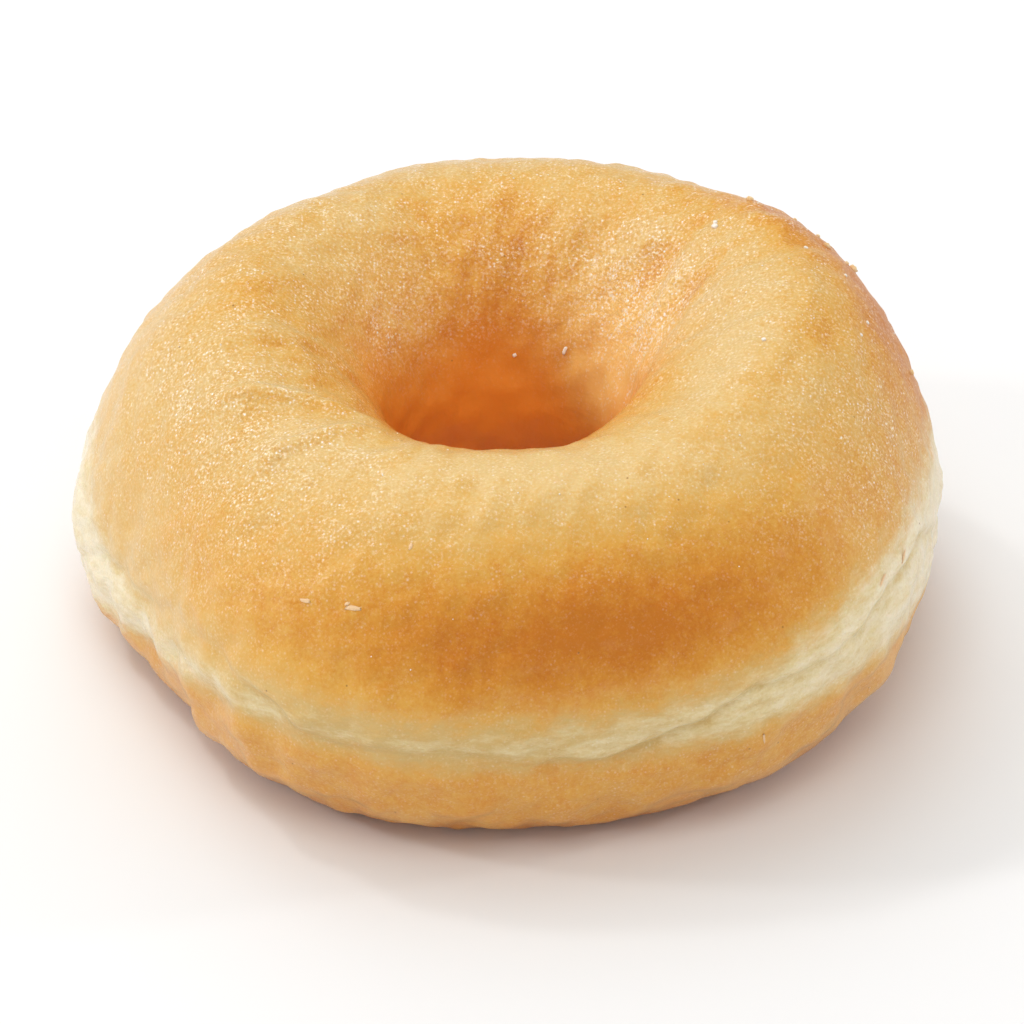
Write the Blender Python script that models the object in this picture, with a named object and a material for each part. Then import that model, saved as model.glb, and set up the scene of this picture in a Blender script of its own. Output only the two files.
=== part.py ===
"""A plain ring doughnut, fried on both sides, with a pale proof line round its side.

The doughnut is one closed solid. Its section is drawn quarter by quarter as superellipses, and
its outline, crest, proof line and hole drift a little round the ring, as hand-turned dough does.
Relief is raised on that ring along its normals: folds that fan out of the hole, broad lumps, the
lip and crease of the proof line, and puckers on the lower side. The foot is flat, where the
doughnut rests.
"""
import math

import bpy
import numpy as np

MM = 0.001

# Mesh: steps round the ring, and steps round the section
RING_STEPS = 112
SECTION_STEPS = 52

# Driving sizes of the ring, in millimetres
OUTER_RADIUS = 42.77
HOLE_RADIUS = 10.62
HOLE_SHIFT_X = -0.86
HOLE_SHIFT_Y = 0.80
CREST_RADIUS = 27.06
CREST_HEIGHT = 38.28
LINE_HEIGHT = 15.35
WAIST_HEIGHT = 18.88
FOOT_RADIUS = 29.48
FOOT_SLICE = 0.8

# Fullness of each quarter of the section: 2 is an ellipse, more is squarer
UPPER_OUTER_FULLNESS = 1.77
UPPER_INNER_FULLNESS = 1.83
LOWER_OUTER_FULLNESS = 2.24
LOWER_INNER_FULLNESS = 2.20
SECTION_SOFTENING = math.radians(5.0)

# Waves round the ring: lobes, amplitude in millimetres, heading of a lobe in degrees
OUTLINE_WAVES = ((2, 0.51, -78), (3, 0.18, 38), (4, 0.58, -12), (5, 1.22, 26), (6, 0.22, -8))
HOLE_WAVES = ((2, 0.69, 42), (3, 0.76, 28), (4, 0.33, -8))
CREST_WAVES = ((1, 1.79, 38), (2, 1.40, -6), (3, 0.55, 20), (4, 0.40, -6))
LINE_WAVES = ((1, 1.89, -49), (2, 2.21, -87), (3, 2.16, -24))

# Folds: height and half width in millimetres, then start, bend and end of the fold, each as
# heading round the ring and angle round the section, in degrees. A furrow has a negative height.
FOLDS = (
    (0.50, 1.5, (-129, 119), (-151, 112), (-157, 68)),
    (0.50, 1.4, (-124, 112), (-134, 100), (-139, 62)),
    (-0.45, 1.5, (-145, 96), (-148, 84), (-147, 66)),
    (-0.45, 1.7, (-166, 108), (-163, 98), (-161, 84)),
    (0.40, 1.6, (-165, 118), (-171, 106), (-174, 88)),
    (-0.45, 1.9, (178, 112), (180, 101), (184, 88)),
    (0.35, 1.9, (164, 114), (168, 102), (171, 88)),
    (-0.30, 2.0, (156, 98), (160, 88), (164, 78)),
    (0.35, 2.2, (128, 116), (133, 106), (137, 94)),
    (-0.30, 2.2, (112, 120), (114, 108), (117, 96)),
    (0.40, 2.2, (97, 126), (99, 112), (102, 98)),
    (-0.55, 1.9, (86, 132), (88, 120), (88, 108)),
    (0.50, 2.0, (76, 134), (73, 118), (70, 102)),
    (-0.50, 1.8, (68, 128), (65, 117), (62, 106)),
    (0.35, 1.8, (56, 138), (53, 124), (51, 110)),
    (-0.55, 1.6, (44, 138), (41, 128), (39, 116)),
    (0.50, 1.6, (28, 146), (31, 130), (33, 112)),
    (-0.60, 1.7, (17, 140), (18, 129), (24, 114)),
    (0.45, 1.7, (-3, 146), (-2, 128), (9, 114)),
    (-0.30, 2.2, (-18, 80), (-14, 75), (-8, 70)),
    (0.30, 2.4, (-26, 132), (-24, 116), (-18, 100)),
    (-0.30, 1.2, (-101, 80), (-99, 79), (-98, 78)),
    (0.25, 2.6, (-112, 104), (-118, 94), (-124, 84)),
    (-0.30, 2.0, (-117, 76), (-121, 72), (-126, 69)),
)
FOLD_SAMPLES = 25

# Proof line: its lip, and the crease that wanders under it, in millimetres and degrees
LIP_HEIGHT = 0.35
LIP_ANGLE = 5
LIP_SPREAD = 9
CREASE_DEPTH = 0.40
CREASE_SPREAD = 4.5
CREASE_ANGLE = 2
CREASE_WAVES = ((3, -9, -88), (10, 3, -97))

# Unevenness of the crust: seed of the draw, number of waves, height of one wave in millimetres,
# and shortest and longest wave. Lumps are all over, puckers only on the lower side.
LUMPS = (11, 14, 0.05, 9.0, 20.0)
PUCKERS = (5, 16, 0.07, 4.8, 8.0)
PUCKER_ANGLE = -22
PUCKER_SPREAD = 24

CRUST_COLOUR = (0.63, 0.31, 0.085, 1.0)
CRUST_ROUGHNESS = 0.5


def waves(table, turn):
    """Sum of cosines round the ring, one for each row of lobes, amplitude and heading."""
    total = np.zeros_like(turn)
    for lobes, amplitude, heading in table:
        total += amplitude * np.cos(lobes * (turn - math.radians(heading)))
    return total


def signed_power(value, power):
    return np.sign(value) * np.abs(value) ** power


def sharp_ring(turn, around):
    """Point of the ring, in millimetres, from its turn round the ring and round the section.

    The section angle is 0 on the outside, a quarter turn on the crest, half a turn in the hole
    and three quarters on the foot. Each quarter is a superellipse between two of those points.
    """
    outward = np.cos(around)
    upward = np.sin(around)
    outside = outward > 0
    above = upward > 0
    outer = OUTER_RADIUS + waves(OUTLINE_WAVES, turn)
    inner = HOLE_RADIUS + waves(HOLE_WAVES, turn)
    inner += HOLE_SHIFT_X * np.cos(turn) + HOLE_SHIFT_Y * np.sin(turn)
    crest = CREST_HEIGHT + waves(CREST_WAVES, turn)
    line = LINE_HEIGHT + waves(LINE_WAVES, turn)
    middle_radius = np.where(above, CREST_RADIUS, FOOT_RADIUS)
    middle_height = np.where(outside, line, WAIST_HEIGHT)
    half_width = np.where(outside, outer - middle_radius, middle_radius - inner)
    half_height = np.where(above, crest - middle_height, middle_height)
    upper_fullness = np.where(outside, UPPER_OUTER_FULLNESS, UPPER_INNER_FULLNESS)
    lower_fullness = np.where(outside, LOWER_OUTER_FULLNESS, LOWER_INNER_FULLNESS)
    fullness = np.where(above, upper_fullness, lower_fullness)
    radius = middle_radius + half_width * signed_power(outward, 2 / fullness)
    height = middle_height + half_height * signed_power(upward, 2 / fullness)
    return np.stack((radius * np.cos(turn), radius * np.sin(turn), height), axis=-1)


def ring(turn, around):
    """The ring with its quarters eased into each other: a weighted mean along the section."""
    total = np.zeros(turn.shape + (3,))
    for step, weight in ((-2, 1), (-1, 4), (0, 6), (1, 4), (2, 1)):
        total += weight / 16 * sharp_ring(turn, around + step * SECTION_SOFTENING)
    return total


def ring_normal(turn, around):
    """Outward normal of the ring: the cross product of its slopes in the two directions."""
    step = 0.01
    along = ring(turn + step, around) - ring(turn - step, around)
    across = ring(turn, around + step) - ring(turn, around - step)
    normal = np.cross(along, across)
    return normal / np.linalg.norm(normal, axis=-1, keepdims=True)


def bell(offset, spread):
    return np.exp(-0.5 * (offset / spread) ** 2)


def fold_path(start, bend, end):
    """Points on the ring along a fold: a quadratic curve from start to end, drawn to its bend."""
    share = np.linspace(0, 1, FOLD_SAMPLES)[:, None]
    corners = np.radians(np.array((start, bend, end), dtype=float))
    path = (1 - share) ** 2 * corners[0] + 2 * share * (1 - share) * corners[1]
    path += share ** 2 * corners[2]
    return ring(path[:, 0], path[:, 1]), np.sin(math.pi * share[:, 0]) ** 0.5


def folds(points):
    """Height of all folds: each falls off like a bell from its path, and fades at its ends."""
    total = np.zeros(len(points))
    for height, half_width, start, bend, end in FOLDS:
        path, fade = fold_path(start, bend, end)
        distance = np.linalg.norm(points[:, None, :] - path[None, :, :], axis=-1)
        total += height * np.max(fade * bell(distance, half_width), axis=1)
    return total


def wrapped_degrees(around):
    """Section angle in degrees, from -180 to 180, so that the outside is at 0."""
    return np.degrees(np.arctan2(np.sin(around), np.cos(around)))


def proof_line(turn, around):
    """A low lip at the proof line, and a crease that wanders under it."""
    angle = wrapped_degrees(around)
    lip = LIP_HEIGHT * bell(angle - LIP_ANGLE, LIP_SPREAD)
    crease_angle = CREASE_ANGLE + waves(CREASE_WAVES, turn)
    crease = CREASE_DEPTH * bell(angle - crease_angle + CREASE_SPREAD, CREASE_SPREAD)
    return lip - crease


def unevenness(points, seed, count, height, shortest, longest):
    """A sum of plane waves through the ring, of drawn directions, lengths and phases."""
    draw = np.random.default_rng(seed)
    total = np.zeros(len(points))
    for _ in range(count):
        direction = draw.normal(size=3)
        direction /= np.linalg.norm(direction)
        length = draw.uniform(shortest, longest)
        phase = draw.uniform(0, 2 * math.pi)
        total += height * np.sin(2 * math.pi / length * (points @ direction) + phase)
    return total


def puckers(points, around):
    """Short unevenness of the lower side, which fades out above and below it."""
    angle = wrapped_degrees(around)
    return unevenness(points, *PUCKERS) * bell(angle - PUCKER_ANGLE, PUCKER_SPREAD)


def doughnut_points(turn, around):
    """The ring with all its relief, its foot pressed flat and its box centred, in millimetres."""
    points = ring(turn, around)
    height = folds(points) + proof_line(turn, around) + puckers(points, around)
    height += unevenness(points, *LUMPS)
    points = points + height[:, None] * ring_normal(turn, around)
    points[:, 2] = np.maximum(points[:, 2], FOOT_SLICE) - FOOT_SLICE
    centre = (points.max(axis=0) + points.min(axis=0)) / 2
    points[:, :2] -= centre[:2]
    return points


def crust_material():
    material = bpy.data.materials.new("golden_crust")
    material.use_nodes = True
    shader = material.node_tree.nodes["Principled BSDF"]
    shader.inputs["Base Color"].default_value = CRUST_COLOUR
    shader.inputs["Roughness"].default_value = CRUST_ROUGHNESS
    shader.inputs["Metallic"].default_value = 0.0
    return material


def make_doughnut():
    """A torus whose points are moved onto the doughnut's form."""
    bpy.ops.mesh.primitive_torus_add(
        major_segments=RING_STEPS,
        minor_segments=SECTION_STEPS,
        major_radius=1.0,
        minor_radius=0.5,
        generate_uvs=False,
    )
    doughnut = bpy.context.object
    doughnut.name = "doughnut"
    mesh = doughnut.data
    mesh.name = "doughnut"
    torus = np.empty(3 * len(mesh.vertices))
    mesh.vertices.foreach_get("co", torus)
    torus = torus.reshape(-1, 3)
    turn = np.arctan2(torus[:, 1], torus[:, 0])
    around = np.arctan2(torus[:, 2], np.hypot(torus[:, 0], torus[:, 1]) - 1.0)
    points = doughnut_points(turn, around) * MM
    mesh.vertices.foreach_set("co", points.ravel())
    mesh.shade_smooth()
    mesh.materials.append(crust_material())
    mesh.update()
    return doughnut


def clear_scene():
    for item in list(bpy.data.objects):
        bpy.data.objects.remove(item, do_unlink=True)


clear_scene()
make_doughnut()
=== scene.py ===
"""A plain ring doughnut, fried on both sides.

Its skin is the solid's form on a finer grid, with sharper folds, wrinkles and a crack along the
pale proof line. The finish browns it, paints light and shade on its relief, paints the light in
its hole and lays oily grain with painted glints and shade over it.
Grains of sugar, flecks of dried glaze and crumbs cling to it.
"""
import math

import bpy
import numpy as np
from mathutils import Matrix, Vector


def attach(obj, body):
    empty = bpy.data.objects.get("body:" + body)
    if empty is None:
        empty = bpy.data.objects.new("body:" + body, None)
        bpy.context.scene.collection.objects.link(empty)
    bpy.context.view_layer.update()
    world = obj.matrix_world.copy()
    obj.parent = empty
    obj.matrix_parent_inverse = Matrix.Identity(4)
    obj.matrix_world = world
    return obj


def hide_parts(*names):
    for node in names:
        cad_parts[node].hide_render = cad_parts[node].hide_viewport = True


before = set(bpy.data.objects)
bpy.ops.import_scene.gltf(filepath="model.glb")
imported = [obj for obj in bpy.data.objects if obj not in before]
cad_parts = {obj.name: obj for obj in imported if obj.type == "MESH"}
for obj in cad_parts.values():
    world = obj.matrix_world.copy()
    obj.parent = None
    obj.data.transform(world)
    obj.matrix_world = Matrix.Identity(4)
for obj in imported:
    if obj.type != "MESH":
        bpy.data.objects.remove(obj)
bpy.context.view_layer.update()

MM = 0.001
BODY = "root"
NODE = "doughnut"

# Grids round the ring and round the section: the solid's own, and the skin's finer one, which is
# drawn closer towards the outside, where the proof line is
SOLID_GRID = (112, 52)
SKIN_GRID = (520, 184)
SKIN_CLOSENESS = 0.42

# Driving sizes of the ring, in millimetres, as in the solid
OUTER_RADIUS = 42.77
HOLE_RADIUS = 10.62
HOLE_SHIFT_X = -0.86
HOLE_SHIFT_Y = 0.80
CREST_RADIUS = 27.06
CREST_HEIGHT = 38.28
LINE_HEIGHT = 15.35
WAIST_HEIGHT = 18.88
FOOT_RADIUS = 29.48
FOOT_SLICE = 0.8
UPPER_OUTER_FULLNESS = 1.77
UPPER_INNER_FULLNESS = 1.83
LOWER_OUTER_FULLNESS = 2.24
LOWER_INNER_FULLNESS = 2.20
SECTION_SOFTENING = math.radians(5.0)

# Waves round the ring: lobes, amplitude in millimetres, heading of a lobe in degrees
OUTLINE_WAVES = ((2, 0.51, -78), (3, 0.18, 38), (4, 0.58, -12), (5, 1.22, 26), (6, 0.22, -8))
HOLE_WAVES = ((2, 0.69, 42), (3, 0.76, 28), (4, 0.33, -8))
CREST_WAVES = ((1, 1.79, 38), (2, 1.40, -6), (3, 0.55, 20), (4, 0.40, -6))
LINE_WAVES = ((1, 1.89, -49), (2, 2.21, -87), (3, 2.16, -24))

# Folds: height and half width in millimetres, then start, bend and end of the fold, each as
# heading round the ring and angle round the section, in degrees. A furrow has a negative height.
FOLDS = (
    (0.50, 1.5, (-129, 119), (-151, 112), (-157, 68)),
    (0.50, 1.4, (-124, 112), (-134, 100), (-139, 62)),
    (-0.45, 1.5, (-145, 96), (-148, 84), (-147, 66)),
    (-0.45, 1.7, (-166, 108), (-163, 98), (-161, 84)),
    (0.40, 1.6, (-165, 118), (-171, 106), (-174, 88)),
    (-0.45, 1.9, (178, 112), (180, 101), (184, 88)),
    (0.35, 1.9, (164, 114), (168, 102), (171, 88)),
    (-0.30, 2.0, (156, 98), (160, 88), (164, 78)),
    (0.35, 2.2, (128, 116), (133, 106), (137, 94)),
    (-0.30, 2.2, (112, 120), (114, 108), (117, 96)),
    (0.40, 2.2, (97, 126), (99, 112), (102, 98)),
    (-0.55, 1.9, (86, 132), (88, 120), (88, 108)),
    (0.50, 2.0, (76, 134), (73, 118), (70, 102)),
    (-0.50, 1.8, (68, 128), (65, 117), (62, 106)),
    (0.35, 1.8, (56, 138), (53, 124), (51, 110)),
    (-0.55, 1.6, (44, 138), (41, 128), (39, 116)),
    (0.50, 1.6, (28, 146), (31, 130), (33, 112)),
    (-0.60, 1.7, (17, 140), (18, 129), (24, 114)),
    (0.45, 1.7, (-3, 146), (-2, 128), (9, 114)),
    (-0.30, 2.2, (-18, 80), (-14, 75), (-8, 70)),
    (0.30, 2.4, (-26, 132), (-24, 116), (-18, 100)),
    (-0.30, 1.2, (-101, 80), (-99, 79), (-98, 78)),
    (0.25, 2.6, (-112, 104), (-118, 94), (-124, 84)),
    (-0.30, 2.0, (-117, 76), (-121, 72), (-126, 69)),
)
FOLD_SAMPLES = 25

# What the skin changes of the folds: the share that it takes off them on the right and off one on
# the left, the share that it adds to backs on the left, and how wide those backs are beside the
# solid's. Then heading and spread of the stretches where it does so, in degrees.
FOLD_EASE = 0.40
LEFT_FOLD_EASE = 0.5
FOLD_EDGE = 1.1
FOLD_NARROWING = 0.45
RIGHT_FOLDS = (40, 60)
LEFT_EASED_FOLD = (178, 16)
LEFT_FOLDS = (-152, 40)

# Sizes of the oily grain, its painted glints and shade, its painted glint drops and dots, the
# pores and the clusters of grain, in millimetres
GRAIN_SIZE = 0.40
FINE_GRAIN_SIZE = 0.24
GLINT_SIZE = 0.30
DROP_GLINT_SIZE = 0.34
DOT_SIZE = 0.36
PORE_SPACING = 2.4
CLUSTER_SIZE = 2.6

# Proof line: its lip, and the crease that wanders under it, in millimetres and degrees
LIP_HEIGHT = 0.35
LIP_ANGLE = 5
LIP_SPREAD = 9
CREASE_DEPTH = 0.40
CREASE_SPREAD = 4.5
CREASE_ANGLE = 2
CREASE_WAVES = ((3, -9, -88), (10, 3, -97))

# Unevenness: seed, number of waves, height of one wave, shortest and longest wave in millimetres
LUMPS = (11, 14, 0.05, 9.0, 20.0)
PUCKERS = (5, 16, 0.07, 4.8, 8.0)
DIMPLES = (23, 40, 0.016, 1.6, 5.0)
PUCKER_ANGLE = -22
PUCKER_SPREAD = 24

# Wrinkles that fan out of the hole: seed, number of waves, height of one wave in millimetres,
# fewest and most lobes round the ring, and most lobes round the section
WRINKLES = (31, 24, 0.016, 12, 46, 7)

# Direction of the light and strength of the painted shade and light on the flanks of the relief:
# heading and rise in degrees, then strength
LEAN_LIGHT_WAY = (125, 40)
LEAN_SHADE = 0.65

# Crack: the thin groove in the proof line with its ledge, in millimetres and degrees, how it
# strays, and the stretch where it closes
CRACK_DEPTH = 0.46
CRACK_SPREAD = 1.2
CRACK_WAVES = ((1, 2.0, -60), (17, 0.9, 4), (29, 0.7, 3), (47, 0.5, 1), (71, 0.35, 2))
LEDGE_HEIGHT = 0.32
LEDGE_SPREAD = 2.2
LEDGE_STEP = 3.0
CLOSED_CRACK = (-156, 14)

# Upper and lower edge of the pale line, as section angles in degrees, with waves round the ring
UPPER_EDGE = 13.9
UPPER_EDGE_WAVES = ((2, 6.9, -13), (3, 2.0, 12), (4, 4.1, -4), (5, 5.4, 26), (6, 2.3, -18))
LOWER_EDGE = -11.2
LOWER_EDGE_WAVES = ((2, 4.7, 76), (3, 0.6, -55), (4, 2.4, -37))

# Browning all over, under the proof line and more towards the foot, then painted shade in
# furrows and painted light on backs
BASE_BROWNING = 0.12
UNDER_BROWNING = 0.48
FOOT_BROWNING = 0.30
FURROW_SHADE = 0.35
BACK_LIGHT = 0.10

# Coarseness of the oily grain all over, more on the top, and more on the backs of left folds. It
# also sets how much painted glint and shade lies on the grain
PLAIN_GRAIN = 0.14
TOP_GRAIN = 0.28
BACK_GRAIN = 0.2

# Swells round the ring: heading and spread in degrees, and strength. They move the edges of the
# pale line and change its tone, set how dark the shoulder is and at which section angle, where
# the browning of the hole starts, how dark the rim is, how late the painted red light of the hole
# starts, how much more painted shade the furrows get, and how fine the grain is at the front.
UPPER_EDGE_SWELLS = ((-134, 24, -10), (-42, 14, 3), (-84, 20, -3))
LOWER_EDGE_SWELLS = ((-28, 18, 3.5), (-160, 12, -4))
CREAM_TONE = 0.97
CREAM_TONE_SWELLS = ((-93, 38, -0.70), (-112, 11, -0.25))
SHOULDER_DEPTH = 0.38
SHOULDER_DEPTH_SWELLS = ((-80, 24, 0.54), (-179, 27, -0.33))
SHOULDER_ANGLE = 33
SHOULDER_ANGLE_SWELLS = ((-92, 18, -3), (-45, 18, 2))
SHOULDER_SPREAD = 19
HOLE_START = 95
HOLE_START_SWELLS = ((28, 34, 38), (142, 20, 9), (178, 13, 10), (98, 16, -10))
HOLE_RISE = 78
RIM_SWELLS = ((26, 18, 0.64), (3, 12, 0.22))
HOLLOW_LIGHT_LATE_SWELLS = ((48, 24, 1.0), (140, 16, 0.3))
FURROW_SHADE_SWELLS = ((34, 24, 0.60),)
FINE_GRAIN_SWELLS = ((-85, 44, 0.17),)

# Patches of the crust that are browner, or with a negative strength paler: heading, section
# angle, spread round the ring, spread round the section, in degrees, and strength
BAKE_PATCHES = (
    (-86, 99, 24, 16, -0.24),
    (12, 112, 24, 16, -0.04),
    (-12, 106, 14, 12, -0.08),
    (-172, 52, 14, 14, -0.10),
    (-133, 79, 10, 10, -0.12),
    (-35, 104, 10, 10, -0.12),
    (0, 31, 16, 9, -0.14),
    (-14, 76, 12, 14, 0.12),
    (-160, 42, 14, 14, 0.06),
    (172, 96, 9, 9, 0.24),
    (-179, 112, 12, 9, 0.14),
    (95, 110, 22, 12, 0.14),
    (-116, 92, 8, 9, 0.10),
    (-38, 88, 10, 8, 0.12),
    (62, 104, 22, 16, 0.12),
    (158, 66, 26, 20, 0.10),
    (16, 84, 13, 9, 0.26),
    (0, 58, 9, 8, 0.18),
    (18, 126, 3.5, 6, 0.36),
    (43, 130, 4, 6, 0.34),
    (-13, 74, 3.5, 4, 0.26),
)

# More soft spots, in the same form: where the wrinkles are, where light is painted on the walls
# of the hole, where glints are painted where oil stands, where the grain is coarse and with it its
# painted glints and shade, and where the oil is thin
WRINKLE_SPOTS = ((28, 118, 26, 36, 1.0), (-160, 100, 34, 30, 1.0))
WALL_LIGHT_SPOTS = ((35, 157, 24, 20, 0.92), (142, 140, 16, 16, 0.25))
WET_GLINT_SPOTS = ((33, 145, 22, 16, 0.95), (88, 120, 30, 12, 0.15), (140, 142, 14, 11, 0.35))
GRAIN_SPOTS = (
    (-88, 30, 40, 20, -0.09),
    (32, 137, 30, 18, 0.60),
    (144, 142, 12, 14, 0.45),
    (-146, 56, 20, 22, 0.45),
    (-20, 40, 14, 15, 0.45),
    (-175, 80, 40, 26, 0.12),
)
THIN_OIL_SPOTS = ((16, 40, 24, 24, 0.85),)

# Coat of oil: its strength from 0 to 1
OIL = 0.6

# Colours of the crust, from pale to dark, and of the pale line, from yellow to cream. Then the
# painted light on the hole's lit wall and in its red depth, the painted shade of the pits, the
# painted glints of the beads, drops and dots, and the colour of the pores.
GOLDEN_STOPS = (
    (0.0, (0.76, 0.530, 0.225)),
    (0.25, (0.74, 0.450, 0.130)),
    (0.5, (0.75, 0.390, 0.072)),
    (0.75, (0.69, 0.285, 0.033)),
    (1.0, (0.60, 0.190, 0.015)),
)
CREAM_STOPS = (
    (0.0, (0.66, 0.455, 0.165)),
    (0.5, (0.79, 0.635, 0.335)),
    (1.0, (0.89, 0.77, 0.54)),
)
WALL_LIGHT_COLOUR = (0.98, 0.62, 0.20, 1.0)
HOLLOW_LIGHT_COLOUR = (0.95, 0.34, 0.046, 1.0)
PIT_SHADE_COLOUR = (0.60, 0.27, 0.07, 1.0)
BEAD_GLINT_COLOUR = (1.0, 0.86, 0.63, 1.0)
DROP_GLINT_COLOUR = (1.0, 0.96, 0.87, 1.0)
DOT_GLINT_COLOUR = (1.0, 0.96, 0.88, 1.0)
PORE_COLOUR = (0.30, 0.12, 0.03, 1.0)

# Camera: a long lens from far off
CAMERA_ELEVATION = math.radians(33.25)
CAMERA_DISTANCE = 0.602
CAMERA_TARGET = (0.00068, -0.00055, 0.01345)
LENS = 212.6
SENSOR = 36.0

# Lights: name, heading and elevation in degrees, distance, side in metres, watts. The boxes only
# light the dough softly, and the small lamps also glint in its oil.
SOFTBOXES = (
    ("back_box", 100, 36, 0.85, 0.7, 1.3),
    ("top_box", 140, 68, 0.80, 0.6, 1.2),
    ("front_box", -95, 62, 0.80, 0.4, 1.2),
)
LAMPS = (
    ("side_window", 162, 20, 0.80, 0.35, 0.2),
    ("top_lamp", 151, 54, 0.80, 0.08, 0.7),
    ("left_lamp", 182, 29, 0.75, 0.06, 0.8),
    ("right_lamp", 8, 20, 0.75, 0.06, 0.7),
)
LIGHT_AIM = (0.0, 0.0, 0.02)
ROOM_LIGHT = 0.65

# Grains, flecks and crumbs: heading and section angle of the place, length, width and height in
# millimetres, and turn on the spot, in degrees
SUGAR_GRAINS = (
    (32.5, 105, 0.65, 0.55, 0.40, 20),
    (33.8, 103.4, 0.45, 0.40, 0.35, 50),
    (-22, 95, 0.50, 0.45, 0.30, 35),
    (-2, 58, 0.40, 0.35, 0.30, 10),
    (13, 80, 0.45, 0.35, 0.25, 70),
    (8, 66, 0.35, 0.30, 0.25, 15),
    (-7, 60, 0.35, 0.30, 0.25, 40),
    (90.5, 159, 0.45, 0.35, 0.25, 30),
    (67.5, 157, 0.90, 0.38, 0.25, 75),
)
GLAZE_FLECKS = (
    (-119, 36, 1.1, 0.45, 0.05, 10),
    (-112, 37.5, 1.5, 0.5, 0.05, 5),
    (-113, 38.4, 0.7, 0.3, 0.04, 40),
    (-106, 57, 0.7, 0.4, 0.08, 80),
    (-35.5, 14, 1.8, 0.35, 0.14, 35),
    (-29.5, 14.5, 1.5, 0.35, 0.14, 40),
    (-57, -16, 0.3, 1.6, 0.10, 15),
)
CRUMBS = (
    (37.5, 79.5, 0.8, 0.6, 0.6, 20),
    (19, 67, 0.8, 0.6, 0.5, 60),
    (17, 60, 0.5, 0.4, 0.4, 20),
    (18, 56, 1.0, 0.7, 0.6, 10),
    (2, 36.5, 0.6, 0.5, 0.5, 45),
    (28, 72, 0.4, 0.4, 0.3, 45),
    (24, 66, 0.5, 0.4, 0.3, 5),
)

# Sugar dust: seed, number of grains, smallest and largest grain in millimetres
SUGAR_DUST = (7, 90, 0.10, 0.20)

# Small rounded blocks: rings between the poles, and steps round each ring
BLOB_GRID = (7, 10)


def waves(table, turn):
    """Sum of cosines round the ring, one for each row of lobes, amplitude and heading."""
    total = np.zeros_like(turn)
    for lobes, amplitude, heading in table:
        total += amplitude * np.cos(lobes * (turn - math.radians(heading)))
    return total


def signed_power(value, power):
    """Size of the value raised to the power, with the value's sign."""
    return np.sign(value) * np.abs(value) ** power


def bell(offset, spread):
    """Bell curve: 1 at no offset, falling to 0.6 at one spread."""
    return np.exp(-0.5 * (offset / spread) ** 2)


def step_up(value, low, high):
    """Smooth step: 0 below low, 1 above high, three t squared less two t cubed between."""
    share = np.clip((value - low) / (high - low), 0, 1)
    return share * share * (3 - 2 * share)


def degrees_round(around):
    """Section angle in degrees, from -180 to 180, so that the outside is at 0."""
    return np.degrees(np.arctan2(np.sin(around), np.cos(around)))


def sharp_ring(turn, around):
    """Point of the ring from its turn round the ring and round the section, in millimetres.

    The section angle is 0 on the outside, a quarter turn on the crest, half a turn in the hole
    and three quarters on the foot. In each quarter, radius is the middle radius plus the half
    width times cosine to the power 2 over fullness, and height is the same with sine.
    """
    outward = np.cos(around)
    upward = np.sin(around)
    outside = outward > 0
    above = upward > 0
    outer = OUTER_RADIUS + waves(OUTLINE_WAVES, turn)
    inner = HOLE_RADIUS + waves(HOLE_WAVES, turn)
    inner += HOLE_SHIFT_X * np.cos(turn) + HOLE_SHIFT_Y * np.sin(turn)
    crest = CREST_HEIGHT + waves(CREST_WAVES, turn)
    line = LINE_HEIGHT + waves(LINE_WAVES, turn)
    middle_radius = np.where(above, CREST_RADIUS, FOOT_RADIUS)
    middle_height = np.where(outside, line, WAIST_HEIGHT)
    half_width = np.where(outside, outer - middle_radius, middle_radius - inner)
    half_height = np.where(above, crest - middle_height, middle_height)
    upper_fullness = np.where(outside, UPPER_OUTER_FULLNESS, UPPER_INNER_FULLNESS)
    lower_fullness = np.where(outside, LOWER_OUTER_FULLNESS, LOWER_INNER_FULLNESS)
    fullness = np.where(above, upper_fullness, lower_fullness)
    radius = middle_radius + half_width * signed_power(outward, 2 / fullness)
    height = middle_height + half_height * signed_power(upward, 2 / fullness)
    return np.stack((radius * np.cos(turn), radius * np.sin(turn), height), axis=-1)


def ring(turn, around):
    """The ring with its quarters eased into each other: a weighted mean along the section."""
    total = np.zeros(turn.shape + (3,))
    for step, weight in ((-2, 1), (-1, 4), (0, 6), (1, 4), (2, 1)):
        total += weight / 16 * sharp_ring(turn, around + step * SECTION_SOFTENING)
    return total


def slope_normal(form, turn, around):
    """Outward normal of a form: the cross product of its slopes in the two directions."""
    step = 0.01
    along = form(turn + step, around) - form(turn - step, around)
    across = form(turn, around + step) - form(turn, around - step)
    normal = np.cross(along, across)
    return normal / np.linalg.norm(normal, axis=-1, keepdims=True)


def fold_path(start, bend, end):
    """Points along a fold: a quadratic curve from start to end, drawn to its bend, on the ring."""
    share = np.linspace(0, 1, FOLD_SAMPLES)[:, None]
    corners = np.radians(np.array((start, bend, end), dtype=float))
    path = (1 - share) ** 2 * corners[0] + 2 * share * (1 - share) * corners[1]
    path += share ** 2 * corners[2]
    return ring(path[:, 0], path[:, 1]), np.sin(math.pi * share[:, 0]) ** 0.5


def folds(points, narrowed=1.0):
    """Height of all folds: each falls off like a bell from its path, and fades at its ends."""
    total = np.zeros(len(points))
    for height, half_width, start, bend, end in FOLDS:
        path, fade = fold_path(start, bend, end)
        nearest = np.zeros(len(points))
        for place, strength in zip(path, fade):
            distance = np.linalg.norm(points - place, axis=-1)
            nearest = np.maximum(nearest, strength * bell(distance, narrowed * half_width))
        total += height * nearest
    return total


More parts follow.
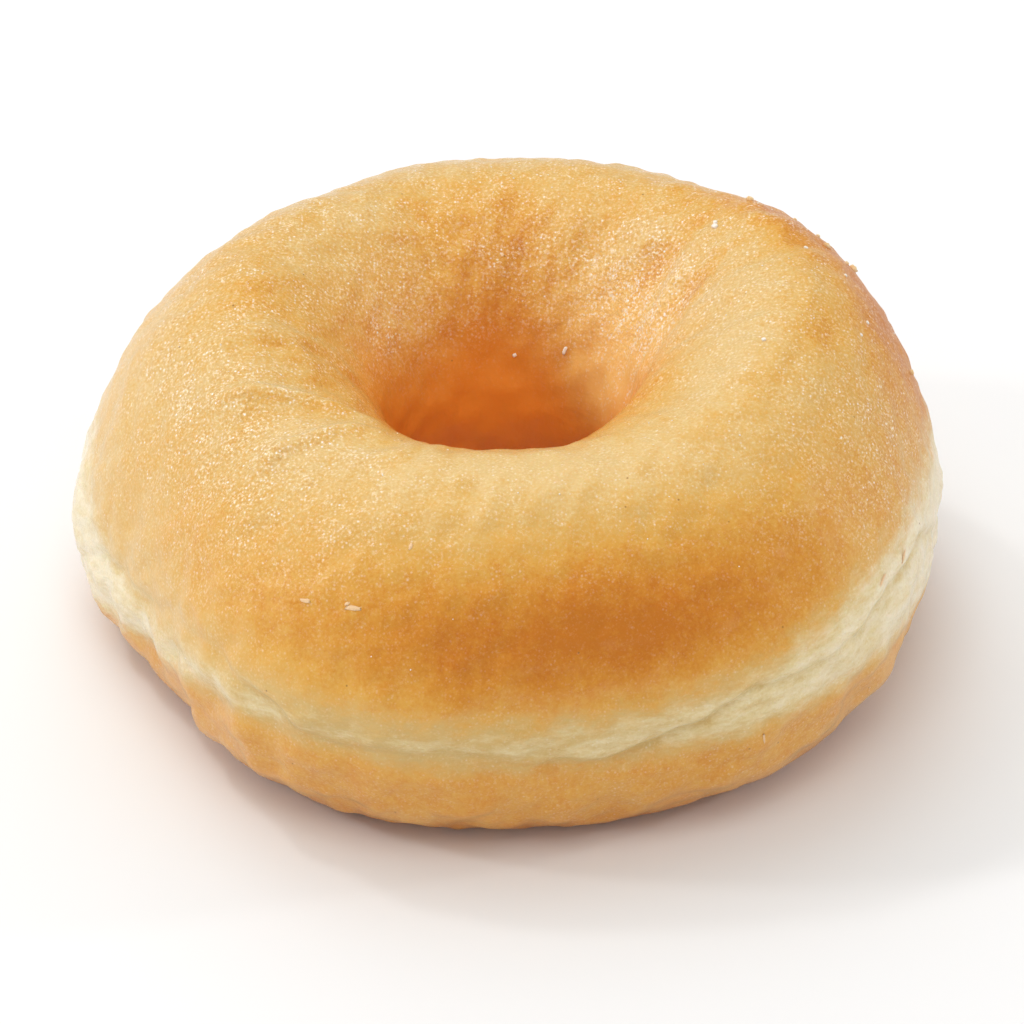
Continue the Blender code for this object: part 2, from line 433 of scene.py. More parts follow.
def proof_line(turn, around):
    """A low lip at the proof line, less a crease that wanders under it: two bells of angle."""
    angle = degrees_round(around)
    lip = LIP_HEIGHT * bell(angle - LIP_ANGLE, LIP_SPREAD)
    crease_angle = CREASE_ANGLE + waves(CREASE_WAVES, turn)
    crease = CREASE_DEPTH * bell(angle - crease_angle + CREASE_SPREAD, CREASE_SPREAD)
    return lip - crease


def unevenness(points, seed, count, height, shortest, longest):
    """A sum of plane waves through the ring, of drawn directions, lengths and phases."""
    draw = np.random.default_rng(seed)
    total = np.zeros(len(points))
    for _ in range(count):
        direction = draw.normal(size=3)
        direction /= np.linalg.norm(direction)
        length = draw.uniform(shortest, longest)
        phase = draw.uniform(0, 2 * math.pi)
        total += height * np.sin(2 * math.pi / length * (points @ direction) + phase)
    return total


def puckers(points, around):
    """Short unevenness of the lower side, which fades out above and below it."""
    angle = degrees_round(around)
    return unevenness(points, *PUCKERS) * bell(angle - PUCKER_ANGLE, PUCKER_SPREAD)


def solid_form(turn, around):
    """The solid's form: the ring, raised along its normals by folds, line, puckers and lumps."""
    points = ring(turn, around)
    height = folds(points) + proof_line(turn, around) + puckers(points, around)
    height += unevenness(points, *LUMPS)
    return points + height[:, None] * slope_normal(ring, turn, around)


def pressed(points):
    """Points with the foot pressed flat at the height of its slice, and that height as zero."""
    flat = points.copy()
    flat[:, 2] = np.maximum(points[:, 2], FOOT_SLICE) - FOOT_SLICE
    return flat


def grid_angles(steps):
    """Ring and section angle of each point of a grid, as two flat arrays."""
    turn = np.linspace(-math.pi, math.pi, steps[0], endpoint=False)
    around = np.linspace(-math.pi, math.pi, steps[1], endpoint=False)
    turn, around = np.meshgrid(turn, around, indexing="ij")
    return turn.ravel(), around.ravel()


def solid_centre():
    """Centre of the solid's box, which the solid has on the origin."""
    points = pressed(solid_form(*grid_angles(SOLID_GRID)))
    centre = (points.max(axis=0) + points.min(axis=0)) / 2
    return np.array((centre[0], centre[1], 0.0))


CENTRE = solid_centre()


def turned_from(turn, heading):
    """Degrees round the ring from a heading, from -180 to 180."""
    offset = turn - math.radians(heading)
    return np.degrees(np.arctan2(np.sin(offset), np.cos(offset)))


def degrees_inward(around):
    """Section angle in degrees, from -90 on the foot over the crest to 270, so without a jump there."""
    angle = degrees_round(around)
    return np.where(angle < -90, angle + 360, angle)


def spot(turn, around, heading, angle, along, across):
    """A soft spot: a bell round the ring times a bell round the section, in degrees."""
    return bell(turned_from(turn, heading), along) * bell(degrees_inward(around) - angle, across)


def spots(table, turn, around):
    """Sum of soft spots, one for each row of heading, section angle, spreads and strength."""
    total = np.zeros_like(turn)
    for heading, angle, along, across, strength in table:
        total += strength * spot(turn, around, heading, angle, along, across)
    return total


def stretch(turn, heading, spread):
    """Bell round the ring from a heading, in degrees."""
    return bell(turned_from(turn, heading), spread)


def swells(table, turn):
    """Sum of bells round the ring, one for each row of heading, spread and strength."""
    total = np.zeros_like(turn)
    for heading, spread, strength in table:
        total += strength * stretch(turn, heading, spread)
    return total


def wrinkles(turn, around):
    """Wrinkles from the hole's rim to the crest: sines of whole lobes round ring and section."""
    seed, count, height, fewest, most, across = WRINKLES
    draw = np.random.default_rng(seed)
    total = np.zeros_like(turn)
    for _ in range(count):
        lobes = draw.integers(fewest, most)
        turns = draw.integers(-across, across + 1)
        phase = draw.uniform(0, 2 * math.pi)
        total += height * np.sin(lobes * turn + turns * around + phase)
    angle = degrees_inward(around)
    share = step_up(angle, 55, 105) * (1 - step_up(angle, 160, 200))
    return total * share * (0.15 + spots(WRINKLE_SPOTS, turn, around))


def crack_angle(turn):
    """Section angle of the crack, which strays a little from the crease of the proof line."""
    return CREASE_ANGLE - CREASE_SPREAD + waves(CREASE_WAVES, turn) + waves(CRACK_WAVES, turn)


def crack_strength(turn):
    """How open the crack is, up to 1: it comes and goes round the ring, and nearly closes once."""
    open_share = 0.55 + 0.45 * np.sin(5 * turn + 1.0) * np.sin(3 * turn - 0.4)
    return open_share * (1 - 0.6 * stretch(turn, *CLOSED_CRACK))


def crack(turn, around):
    """A thin groove with a low ledge above it: two bells of angle."""
    offset = degrees_round(around) - crack_angle(turn)
    ledge = LEDGE_HEIGHT * bell(offset - LEDGE_STEP, LEDGE_SPREAD)
    return crack_strength(turn) * (ledge - CRACK_DEPTH * bell(offset, CRACK_SPREAD))


def crack_shade_and_ledge_light(turn, around):
    """Painted shade in the crack and painted light on its ledge, from -1 to 1."""
    offset = degrees_round(around) - crack_angle(turn)
    shade = 0.3 * bell(offset - LEDGE_STEP - 1, LEDGE_SPREAD) - bell(offset, 1.3 * CRACK_SPREAD)
    return crack_strength(turn) * shade


def fold_heights(turn, around):
    """Heights of the solid's folds at the skin's points, and of the sharper backs along them."""
    points = ring(turn, around)
    return folds(points), np.maximum(folds(points, FOLD_NARROWING), 0)


def fold_edges(turn, folded):
    """What the skin adds to the solid's folds: sharper backs on the left, and less on the right."""
    plain, backs = folded
    ease = FOLD_EASE * stretch(turn, *RIGHT_FOLDS)
    ease += LEFT_FOLD_EASE * stretch(turn, *LEFT_EASED_FOLD)
    return stretch(turn, *LEFT_FOLDS) * FOLD_EDGE * backs - ease * plain


def skin_relief(turn, around, folded):
    """Relief of the folds and wrinkles, in millimetres, which also sets painted shade in the furrows.
    """
    return folded[0] + fold_edges(turn, folded) + 1.6 * wrinkles(turn, around)


def skin_form(turn, around, folded):
    """The skin: the solid's form with wrinkles, crack and dimples, pressed and centred alike."""
    points = solid_form(turn, around)
    height = unevenness(points, *DIMPLES) + wrinkles(turn, around) + crack(turn, around)
    height += fold_edges(turn, folded)
    points = points + height[:, None] * slope_normal(ring, turn, around)
    return pressed(points) - CENTRE


def skin_angles():
    """Angles of the skin's grid: the section's are drawn together where it faces outwards."""
    turn, around = grid_angles(SKIN_GRID)
    return turn, around - SKIN_CLOSENESS * np.sin(around)


def grid_normals(points):
    """Normals of the closed skin grid: the cross product of the steps to a point's neighbours."""
    grid = points.reshape(*SKIN_GRID, 3)
    along = np.roll(grid, -1, axis=0) - np.roll(grid, 1, axis=0)
    across = np.roll(grid, -1, axis=1) - np.roll(grid, 1, axis=1)
    normals = np.cross(along, across).reshape(-1, 3)
    return normals / np.linalg.norm(normals, axis=-1, keepdims=True)


def lean(turn, around, points):
    """How far the relief of the folds tips the skin along a slanting direction.

    It is the difference of the skin's normal and the plain ring's, times that direction, the way
    of the light. Flanks that lean away from it get painted shade, and flanks that lean towards it
    get painted light.
    """
    heading, rise = np.radians(LEAN_LIGHT_WAY)
    way = np.array((math.cos(heading), math.sin(heading), 0.0)) * math.cos(rise)
    way[2] = math.sin(rise)
    tipped = grid_normals(points) - grid_normals(ring(turn, around))
    return (tipped @ way) * step_up(degrees_inward(around), 62, 92)


def flow_places(turn, around):
    """Places for patterns that follow the dough: round the ring in x and y, section in z."""
    run = OUTER_RADIUS * MM
    rise = 0.45 * OUTER_RADIUS * MM * np.radians(degrees_inward(around))
    return np.stack((run * np.cos(turn), run * np.sin(turn), rise), axis=-1)


def cream_share(turn, around):
    """Paleness of the proof line: a smooth step up at its lower edge and down at its upper."""
    angle = degrees_round(around)
    upper = UPPER_EDGE + waves(UPPER_EDGE_WAVES, turn) + swells(UPPER_EDGE_SWELLS, turn)
    lower = LOWER_EDGE + waves(LOWER_EDGE_WAVES, turn) + swells(LOWER_EDGE_SWELLS, turn)
    return step_up(angle, lower - 9, lower + 5) * (1 - step_up(angle, upper - 9, upper + 10))


def sheen_share(turn, around):
    """Strength of the coat of oil: thin on the right shoulder, and even elsewhere."""
    return OIL * (1 - spots(THIN_OIL_SPOTS, turn, around))


def fringe_share(turn, around):
    """Where the proof line is ragged: 1 half way through its edges, and 0 in it and outside it."""
    cream = cream_share(turn, around)
    return 4 * cream * (1 - cream)


def bake_and_shading_share(turn, around, relief, tipped):
    """Browning: a bell of the section angle on the shoulder, a straight rise into the hole.

    The shoulder is darkest at the front and on the right, and palest on the left. The rise into
    the hole starts later on its right. Under the proof line the crust is evenly golden. Painted
    shade browns the furrows and the flanks that lean away from the light, and painted light
    pales the backs and the flanks that lean towards it.
    """
    angle = degrees_round(around)
    inward = degrees_inward(around)
    depth = SHOULDER_DEPTH + swells(SHOULDER_DEPTH_SWELLS, turn)
    middle = SHOULDER_ANGLE + swells(SHOULDER_ANGLE_SWELLS, turn)
    shoulder = depth * bell(angle - middle, SHOULDER_SPREAD)
    start = HOLE_START + swells(HOLE_START_SWELLS, turn)
    hole = np.clip((inward - start) / HOLE_RISE, 0, 1) * (1 - 0.5 * step_up(inward, 205, 250))
    under = UNDER_BROWNING * (1 - step_up(angle, -20, 5))
    under += FOOT_BROWNING * (1 - step_up(angle, -66, -36))
    under *= step_up(angle, -150, -110)
    top = 60 + 0.8 * np.clip(np.degrees(turn), -20, 40)
    rim = swells(RIM_SWELLS, turn) * (1 - step_up(angle, top - 14, top + 24))
    rim *= step_up(angle, 8, 30)
    patches = spots(BAKE_PATCHES, turn, around)
    browned = FURROW_SHADE + swells(FURROW_SHADE_SWELLS, turn)
    # Painted shade in the furrows of the relief and painted light on its backs
    furrows = -np.where(relief < 0, browned, BACK_LIGHT) * relief
    # Painted shade on flanks that lean away from the light, painted light on flanks that lean towards
    # it
    flanks = np.where(tipped < 0, -LEAN_SHADE, -0.5 * LEAN_SHADE) * tipped
    return BASE_BROWNING + shoulder + hole + under + rim + patches + furrows + flanks


def cream_tone(turn, around):
    """Tone of the proof line: yellower at the front left and towards its edges, paler elsewhere."""
    middle = CREAM_TONE + swells(CREAM_TONE_SWELLS, turn) + 0.2 * spot(turn, around, -138, 1, 11, 8)
    return middle - 0.75 * (1 - cream_share(turn, around))


def hollow_light_share(turn, around):
    """How far into the hole the painted red light of the dough goes: a smooth step of the angle.

    On the hole's right the step starts later.
    """
    later = swells(HOLLOW_LIGHT_LATE_SWELLS, turn)
    return step_up(degrees_inward(around), 126 + 38 * later, 180 + 16 * later)


def grain_and_glint_share(turn, around, backs):
    """How coarse the oily grain is, and how much painted glint and shade lies on it: fine all
    over, and coarse in a few soft spots.
    """
    angle = degrees_inward(around)
    top = step_up(angle, 35, 75) * (1 - step_up(angle, 120, 165))
    grain = PLAIN_GRAIN + (TOP_GRAIN - swells(FINE_GRAIN_SWELLS, turn)) * top
    grain += spots(GRAIN_SPOTS, turn, around) + BACK_GRAIN * backs * stretch(turn, *LEFT_FOLDS)
    return grain * (1 - 0.90 * step_up(angle, 138, 172))


def closed_grid_faces(steps):
    """Four-sided faces of a grid that closes on itself in both directions."""
    rows = np.arange(steps[0])[:, None]
    columns = np.arange(steps[1])[None, :]
    next_row = (rows + 1) % steps[0]
    next_column = (columns + 1) % steps[1]
    corners = (
        rows * steps[1] + columns,
        next_row * steps[1] + columns,
        next_row * steps[1] + next_column,
        rows * steps[1] + next_column,
    )
    return np.stack(corners, axis=-1).reshape(-1, 4).tolist()


def new_piece(name, points, faces, material):
    """A smooth mesh object from points in millimetres and rows of corners."""
    mesh = bpy.data.meshes.new(name)
    mesh.from_pydata((points * MM).tolist(), [], faces)
    mesh.materials.append(material)
    mesh.shade_smooth()
    mesh.update()
    piece = bpy.data.objects.new(name, mesh)
    bpy.context.scene.collection.objects.link(piece)
    return piece


def add_values(piece, name, values):
    """A number for each point of the piece, which its material reads by name."""
    layer = piece.data.attributes.new(name, "FLOAT", "POINT")
    layer.data.foreach_set("value", values.astype(np.float32))


def add_places(piece, name, places):
    """A place for each point of the piece, for patterns that follow its surface."""
    layer = piece.data.attributes.new(name, "FLOAT_VECTOR", "POINT")
    layer.data.foreach_set("vector", places.astype(np.float32).ravel())


class Finish:
    """A material and the few steps that its nodes are built from."""

    def __init__(self, name):
        self.material = bpy.data.materials.new(name)
        self.material.use_nodes = True
        self.tree = self.material.node_tree
        self.shader = self.tree.nodes["Principled BSDF"]
        self.place = self.tree.nodes.new("ShaderNodeTexCoord").outputs["Object"]

    def feed(self, socket, value):
        """Links the value to the socket, or sets it there where it is a plain one."""
        if isinstance(value, bpy.types.NodeSocket):
            self.tree.links.new(value, socket)
        else:
            socket.default_value = value

    def noise(self, size, detail=2.0, roughness=0.5, place=None):
        """Noise whose patches are about size millimetres across, about 0 to 1."""
        node = self.tree.nodes.new("ShaderNodeTexNoise")
        self.feed(node.inputs["Vector"], place or self.place)
        self.feed(node.inputs["Scale"], 1 / (size * MM))
        self.feed(node.inputs["Detail"], detail)
        self.feed(node.inputs["Roughness"], roughness)
        return node.outputs["Fac"]

    def dots(self, size):
        """Distance from the nearest dot, in sizes, and a drawn number from 0 to 1 for that dot."""
        node = self.tree.nodes.new("ShaderNodeTexVoronoi")
        self.feed(node.inputs["Vector"], self.place)
        self.feed(node.inputs["Scale"], 1 / (size * MM))
        split = self.tree.nodes.new("ShaderNodeSeparateColor")
        self.feed(split.inputs["Color"], node.outputs["Color"])
        return node.outputs["Distance"], split.outputs["Red"]

    def number(self, name):
        """A number that each point of the piece carries."""
        node = self.tree.nodes.new("ShaderNodeAttribute")
        node.attribute_name = name
        return node.outputs["Fac"]

    def flow(self, along, across):
        """The places that each point carries, drawn out round the ring and round the section."""
        node = self.tree.nodes.new("ShaderNodeAttribute")
        node.attribute_name = "flow"
        mapping = self.tree.nodes.new("ShaderNodeMapping")
        self.feed(mapping.inputs["Vector"], node.outputs["Vector"])
        self.feed(mapping.inputs["Scale"], (1 / along, 1 / along, 1 / across))
        return mapping.outputs["Vector"]

    def sum(self, *values):
        """All the values added up."""
        return self.combine("ADD", values)

    def product(self, *values):
        """All the values multiplied."""
        return self.combine("MULTIPLY", values)

    def combine(self, operation, values):
        """One value from many, by one operation after another."""
        total = values[0]
        for value in values[1:]:
            node = self.tree.nodes.new("ShaderNodeMath")
            node.operation = operation
            self.feed(node.inputs[0], total)
            self.feed(node.inputs[1], value)
            total = node.outputs[0]
        return total

    def spread(self, value, low, high, out_low, out_high):
        """The value taken from one range to another, and kept inside it."""
        node = self.tree.nodes.new("ShaderNodeMapRange")
        self.feed(node.inputs["Value"], value)
        self.feed(node.inputs["From Min"], low)
        self.feed(node.inputs["From Max"], high)
        self.feed(node.inputs["To Min"], out_low)
        self.feed(node.inputs["To Max"], out_high)
        return node.outputs["Result"]

    def ramp(self, value, stops):
        """Colour by value, from stops of position and colour."""
        node = self.tree.nodes.new("ShaderNodeValToRGB")
        elements = node.color_ramp.elements
        while len(elements) < len(stops):
            elements.new(0.5)
        for element, (position, colour) in zip(elements, stops):
            element.position = position
            element.color = (*colour, 1.0)
        self.feed(node.inputs["Fac"], value)
        return node.outputs["Color"]

    def mix(self, share, first, second):
        """Colour that goes from first to second as share goes from 0 to 1."""
        node = self.tree.nodes.new("ShaderNodeMix")
        node.data_type = "RGBA"
        self.feed(node.inputs[0], share)
        self.feed(node.inputs[6], first)
        self.feed(node.inputs[7], second)
        return node.outputs[2]

    def bump(self, height, depth, normal=None):
        """Bump from a height of 0 to 1 that stands depth millimetres high."""
        node = self.tree.nodes.new("ShaderNodeBump")
        self.feed(node.inputs["Height"], height)
        self.feed(node.inputs["Strength"], 1.0)
        self.feed(node.inputs["Distance"], depth * MM)
        if normal:
            self.feed(node.inputs["Normal"], normal)
        return node.outputs["Normal"]


def golden_colour(finish):
    """Browning and painted shade, mottled at three sizes, and painted light on the hole's walls."""
    mottle = finish.noise(3.4, detail=3.0, place=finish.flow(1.0, 1.8))
    small_mottle = finish.noise(1.1, detail=3.0, roughness=0.6)
    grain = finish.noise(0.32, detail=2.0, roughness=0.6)
    bake_and_shading = finish.sum(
        finish.number("bake_and_shading"),
        finish.spread(mottle, 0.3, 0.7, -0.08, 0.08),
        finish.spread(small_mottle, 0.3, 0.7, -0.07, 0.07),
        finish.spread(grain, 0.25, 0.75, 0.06, -0.06),
        finish.product(finish.spread(grain, 0.25, 0.75, 0.30, -0.30), finish.number("grain")),
    )
    golden = finish.ramp(bake_and_shading, GOLDEN_STOPS)
    # Painted light on the lit walls of the hole
    golden = finish.mix(finish.number("wall_light"), golden, WALL_LIGHT_COLOUR)
    # Painted light: the red of light bounced and shining through the dough deep in the hole
    return finish.mix(finish.number("hollow_light"), golden, HOLLOW_LIGHT_COLOUR)


def cream_colour(finish):
    """The pale line's colour by its tone, in streaks along it, with painted shade in the crack
    and painted light on its ledge.
    """
    streaks = finish.noise(1.2, detail=5.0, roughness=0.7, place=finish.flow(2.6, 1.0))
    tone = finish.sum(
        finish.number("tone"),
        finish.spread(streaks, 0.32, 0.68, -0.36, 0.36),
        # Painted shade in the crack and painted light on its ledge
        finish.product(finish.number("crack"), 0.38),
    )
    return finish.ramp(tone, CREAM_STOPS)


def with_cream(finish, golden):
    """The golden crust with the pale line over it, ragged at its edges."""
    wisps = finish.noise(1.7, detail=5.0, roughness=0.68, place=finish.flow(1.8, 1.0))
    wisps = finish.product(finish.spread(wisps, 0.3, 0.7, -0.42, 0.42), finish.number("fringe"))
    ragged = finish.sum(finish.number("cream"), wisps)
    return finish.mix(finish.spread(ragged, 0.06, 0.96, 0.0, 1.0), golden, cream_colour(finish))


def with_pit_shade_and_bead_glints(finish, dough, coarse):
    """The dough with painted shade in brown pit spots, fainter where the oil glints, and painted
    glints on pale bead spots between them.
    """
    flecks = finish.noise(GLINT_SIZE, detail=3.0, roughness=0.7)
    dry = finish.spread(finish.number("wet_glints"), 0.0, 1.0, 1.0, 0.35)
    pit_shade = finish.product(finish.spread(flecks, 0.34, 0.50, 0.6, 0.0), coarse, dry)
    dough = finish.mix(pit_shade, dough, PIT_SHADE_COLOUR)
    bead_glints = finish.product(finish.spread(flecks, 0.53, 0.66, 0.0, 1.0), coarse)
    return finish.mix(bead_glints, dough, BEAD_GLINT_COLOUR)


def with_glint_drops(finish, dough):
    """The dough with painted glints: drops of oil that stand in runs on the walls of the hole."""
    drops = finish.noise(DROP_GLINT_SIZE, detail=3.0, roughness=0.7)
    runs = finish.noise(2.4, detail=3.0, place=finish.flow(1.0, 2.2))
    share = finish.product(
        finish.spread(drops, 0.54, 0.59, 0.0, 1.0),
        finish.spread(runs, 0.42, 0.58, 0.1, 1.0),
        finish.number("wet_glints"),
    )
    return finish.mix(share, dough, DROP_GLINT_COLOUR)


def with_dot_glints(finish, dough, coarse):
    """The dough with a few round painted glints: a drawn share of the dots, soft at their edges."""
    distance, chance = finish.dots(DOT_SIZE)
    share = finish.product(
        finish.spread(distance, 0.10, 0.42, 1.0, 0.0),
        finish.spread(chance, 0.55, 1.0, 0.0, 1.6),
        coarse,
    )
    return finish.mix(share, dough, DOT_GLINT_COLOUR)


def with_pores(finish, dough):
    """The dough with rare tiny dark pores."""
    distance, chance = finish.dots(PORE_SPACING)
    share = finish.product(
        finish.spread(distance, 0.03, 0.06, 0.75, 0.0),
        finish.spread(chance, 0.55, 0.60, 0.0, 1.0),
    )
    return finish.mix(share, dough, PORE_COLOUR)


def crust_colour(finish):
    """Golden crust and pale line under flecks, drops and dots of painted glint and shade, whose
    grain comes in clusters.
    """
    dough = with_cream(finish, golden_colour(finish))
    clusters = finish.spread(finish.noise(CLUSTER_SIZE, detail=3.0), 0.36, 0.64, 0.55, 1.4)
    # Where the grain is coarse, the painted glints and shade of its flecks and dots gather
    coarse = finish.product(clusters, finish.number("grain"))
    dough = with_pit_shade_and_bead_glints(finish, dough, coarse)
    dough = with_glint_drops(finish, dough)
    dough = with_dot_glints(finish, dough, coarse)
    return with_pores(finish, dough)


def grain_bump(finish, size, depth, under=None):
    """An oily grain whose height the piece's points carry."""
    grain = finish.noise(size, detail=2.0, roughness=0.6)
    return finish.bump(finish.product(grain, finish.number("grain")), depth, under)


def crust_finish():
    """Fried crust: browned dough under a thin coat of oil, with a little light inside."""
    finish = Finish("fried_crust")
    finish.feed(finish.shader.inputs["Base Color"], crust_colour(finish))
    soft = finish.bump(finish.noise(1.1, detail=3.0, roughness=0.6), 0.08)
    torn = finish.noise(1.1, detail=4.0, roughness=0.68, place=finish.flow(1.5, 1.0))
    torn = finish.bump(finish.product(torn, finish.number("cream")), 0.35, soft)
    finish.feed(finish.shader.inputs["Normal"], grain_bump(finish, GRAIN_SIZE, 0.24, torn))
    finish.feed(finish.shader.inputs["Coat Normal"], grain_bump(finish, FINE_GRAIN_SIZE, 0.36))
    finish.shader.inputs["Roughness"].default_value = 0.46
    finish.shader.inputs["Specular IOR Level"].default_value = 0.2
    finish.feed(finish.shader.inputs["Coat Weight"], finish.number("sheen"))
    finish.shader.inputs["Coat Roughness"].default_value = 0.13
    finish.shader.inputs["Coat IOR"].default_value = 1.38
    finish.shader.inputs["Subsurface Weight"].default_value = 0.12
    finish.shader.inputs["Subsurface Radius"].default_value = (1.0, 0.45, 0.18)
    finish.shader.inputs["Subsurface Scale"].default_value = 2.0 * MM
    return finish.material


def make_skin():
    """The doughnut's skin on its fine grid, with the numbers that its finish reads."""
    turn, around = skin_angles()
    folded = fold_heights(turn, around)
    relief = skin_relief(turn, around, folded)
    points = skin_form(turn, around, folded)
    skin = new_piece("crust_skin", points, closed_grid_faces(SKIN_GRID), crust_finish())
    add_places(skin, "flow", flow_places(turn, around))
    add_values(skin, "cream", cream_share(turn, around))
    # Browning, with painted shade in furrows and on flanks away from the light, and painted light on
    # backs and flanks towards it
    add_values(skin, "bake_and_shading", bake_and_shading_share(turn, around, relief, lean(turn, around, points)))
    add_values(skin, "tone", cream_tone(turn, around))
    # Coarseness of the grain, which also sets how much painted glint and shade lies on it
    add_values(skin, "grain", grain_and_glint_share(turn, around, folded[1]))
    # Painted red light deep in the hole
    add_values(skin, "hollow_light", hollow_light_share(turn, around))
    # Painted light on the lit walls of the hole
    add_values(skin, "wall_light", spots(WALL_LIGHT_SPOTS, turn, around))
    # Where painted glints of standing oil gather
    add_values(skin, "wet_glints", spots(WET_GLINT_SPOTS, turn, around))
    add_values(skin, "sheen", sheen_share(turn, around))
    # Painted shade in the crack and painted light on its ledge
    add_values(skin, "crack", crack_shade_and_ledge_light(turn, around))
    add_values(skin, "fringe", fringe_share(turn, around))
    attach(skin, BODY)
    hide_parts(NODE)


def blob_points(fullness):
    """A rounded block of half size 1: sine and cosine of two angles, to the power 2 / fullness."""
    rings, steps = BLOB_GRID
    rise = np.linspace(-math.pi / 2, math.pi / 2, rings + 2)[1:-1, None]
    turn = np.linspace(-math.pi, math.pi, steps, endpoint=False)[None, :]
    power = 2 / fullness
    flat = signed_power(np.cos(rise), power)
    block = np.stack((
        (flat * signed_power(np.cos(turn), power)).ravel(),
        (flat * signed_power(np.sin(turn), power)).ravel(),
        (signed_power(np.sin(rise), power) + 0 * turn).ravel(),
    ), axis=-1)
    return np.vstack((block, (0, 0, -1), (0, 0, 1)))


def blob_faces():
    """Faces of the block: quads between its rings, and a fan of triangles at each pole."""
    rings, steps = BLOB_GRID
    step = np.arange(steps)
    after = (step + 1) % steps
    low = np.arange(rings - 1)[:, None] * steps
    quads = np.stack((low + step, low + after, low + steps + after, low + steps + step), axis=-1)
    top = (rings - 1) * steps
    foot = np.stack((0 * step + rings * steps, after, step), axis=-1)
    head = np.stack((0 * step + rings * steps + 1, top + step, top + after), axis=-1)
    return quads.reshape(-1, 4), np.vstack((foot, head))


def make_blobs(name, rows, fullness, roughness, material):
    """Small rounded blocks that sit in the skin, joined in one piece, each a little uneven."""
    rows = np.array(rows, dtype=float)
    draw = np.random.default_rng(len(rows))
    turn = np.radians(rows[:, 0])
    around = np.radians(rows[:, 1])
    seat = skin_form(turn, around, fold_heights(turn, around))
    up = slope_normal(ring, turn, around)
    along = np.stack((-np.sin(turn), np.cos(turn), 0 * turn), axis=-1)
    across = np.cross(up, along)
    twist = np.radians(rows[:, 5])[:, None]
    long_way = np.cos(twist) * along + np.sin(twist) * across
    wide_way = np.cos(twist) * across - np.sin(twist) * along
    block = blob_points(fullness)
    shape = block[None, :, :] * (1 + roughness * draw.normal(size=(len(rows), len(block), 1)))
    half = rows[:, 2:5] / 2
    points = seat[:, None, :] + 0.25 * half[:, None, 2:] * up[:, None, :]
    points = points + shape[:, :, :1] * half[:, None, :1] * long_way[:, None, :]
    points = points + shape[:, :, 1:2] * half[:, None, 1:2] * wide_way[:, None, :]
    points = points + shape[:, :, 2:] * half[:, None, 2:] * up[:, None, :]
    starts = (np.arange(len(rows)) * len(block))[:, None, None]
    quads, fans = blob_faces()
    faces = (quads + starts).reshape(-1, 4).tolist() + (fans + starts).reshape(-1, 3).tolist()
    piece = new_piece(name, points.reshape(-1, 3), faces, material)
    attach(piece, BODY)


def drawn_dust():
    """Rows for fine sugar dust, drawn over the upper side of the doughnut."""
    seed, count, smallest, largest = SUGAR_DUST
    draw = np.random.default_rng(seed)
    size = draw.uniform(smallest, largest, count)
    heading = draw.uniform(-180, 180, count)
    angle = draw.normal(80, 26, count)
    spin = draw.uniform(0, 180, count)
    return np.stack((heading, angle, size, 0.8 * size, 0.7 * size, spin), axis=-1)


def sugar_finish(name, colour, roughness):
    """Pale grains with a fine mottle."""
    finish = Finish(name)
    mottle = finish.spread(finish.noise(0.15), 0.35, 0.65, 0.0, 1.0)
    darker = tuple(0.86 * value for value in colour)
    colour = finish.mix(mottle, (*darker, 1.0), (*colour, 1.0))
    finish.feed(finish.shader.inputs["Base Color"], colour)
    finish.shader.inputs["Roughness"].default_value = roughness
    return finish.material


def crumb_finish():
    """Crumbs of golden crust, mottled from brown to straw."""
    finish = Finish("golden_crumb")
    mottle = finish.spread(finish.noise(0.3, detail=3.0), 0.3, 0.7, 0.0, 1.0)
    colour = finish.mix(mottle, (0.80, 0.50, 0.20, 1.0), (0.88, 0.68, 0.40, 1.0))
    finish.feed(finish.shader.inputs["Base Color"], colour)
    finish.shader.inputs["Roughness"].default_value = 0.6
    return finish.material


def make_crumbs():
    """Grains of sugar, flecks of dried glaze and crumbs that cling to the crust."""
    sugar = sugar_finish("sugar_grain", (1.0, 0.92, 0.80), 0.25)
    glaze = sugar_finish("dried_glaze", (0.93, 0.62, 0.34), 0.35)
    make_blobs("sugar_grains", SUGAR_GRAINS, 3.5, 0.05, sugar)
    make_blobs("sugar_dust", drawn_dust(), 3.0, 0.05, sugar)
    make_blobs("glaze_flecks", GLAZE_FLECKS, 1.8, 0.24, glaze)
    make_blobs("crumbs", CRUMBS, 2.4, 0.12, crumb_finish())


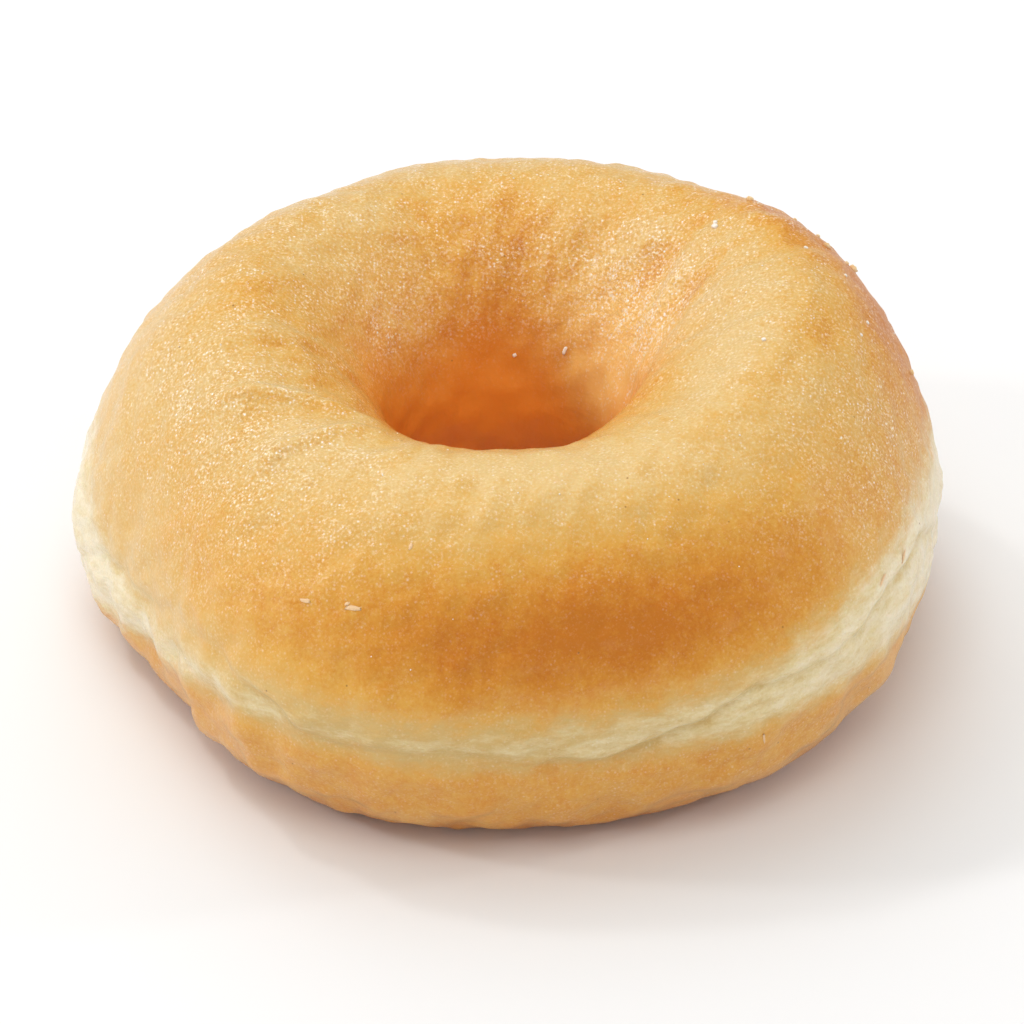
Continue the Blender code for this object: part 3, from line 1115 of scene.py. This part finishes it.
def make_floor():
    """A plain pale floor, far larger than the view."""
    side = 3.0
    corners = ((-side, -side, 0), (side, -side, 0), (side, side, 0), (-side, side, 0))
    finish = Finish("pale_floor")
    finish.shader.inputs["Base Color"].default_value = (0.86, 0.86, 0.86, 1.0)
    finish.shader.inputs["Roughness"].default_value = 0.8
    mesh = bpy.data.meshes.new("floor")
    mesh.from_pydata(corners, [], [(0, 1, 2, 3)])
    mesh.materials.append(finish.material)
    floor = bpy.data.objects.new("floor", mesh)
    bpy.context.scene.collection.objects.link(floor)


def softbox(name, heading, elevation, distance, side, power, glints):
    """A square light that faces the doughnut from a heading and an elevation in degrees."""
    light = bpy.data.lights.new(name, "AREA")
    light.size = side
    light.energy = power
    lamp = bpy.data.objects.new(name, light)
    bpy.context.scene.collection.objects.link(lamp)
    turn = math.radians(heading)
    rise = math.radians(elevation)
    away = Vector((math.cos(rise) * math.cos(turn), math.cos(rise) * math.sin(turn), math.sin(rise)))
    lamp.location = Vector(LIGHT_AIM) + distance * away
    lamp.rotation_euler = away.to_track_quat("Z", "Y").to_euler()
    lamp.visible_glossy = glints


def make_lights():
    """Soft studio light: boxes and small lamps round the doughnut, in a pale room."""
    for box in SOFTBOXES:
        softbox(*box, glints=False)
    for lamp in LAMPS:
        softbox(*lamp, glints=True)
    world = bpy.data.worlds.new("pale_room")
    bpy.context.scene.world = world
    world.use_nodes = True
    world.node_tree.nodes["Background"].inputs["Color"].default_value = (1.0, 1.0, 1.0, 1.0)
    world.node_tree.nodes["Background"].inputs["Strength"].default_value = ROOM_LIGHT
    world.cycles_visibility.glossy = False


def make_camera():
    """Camera that looks down on the doughnut's front."""
    camera = bpy.data.cameras.new("camera")
    camera.lens = LENS
    camera.sensor_width = SENSOR
    camera.clip_start = 0.05
    stand = bpy.data.objects.new("camera", camera)
    bpy.context.scene.collection.objects.link(stand)
    back = CAMERA_DISTANCE * math.cos(CAMERA_ELEVATION)
    rise = CAMERA_DISTANCE * math.sin(CAMERA_ELEVATION)
    stand.location = (CAMERA_TARGET[0], CAMERA_TARGET[1] - back, CAMERA_TARGET[2] + rise)
    stand.rotation_euler = (math.pi / 2 - CAMERA_ELEVATION, 0, 0)
    bpy.context.scene.camera = stand


make_camera()
make_lights()
make_floor()
make_skin()
make_crumbs()
bpy.context.scene.view_settings.view_transform = "Standard"
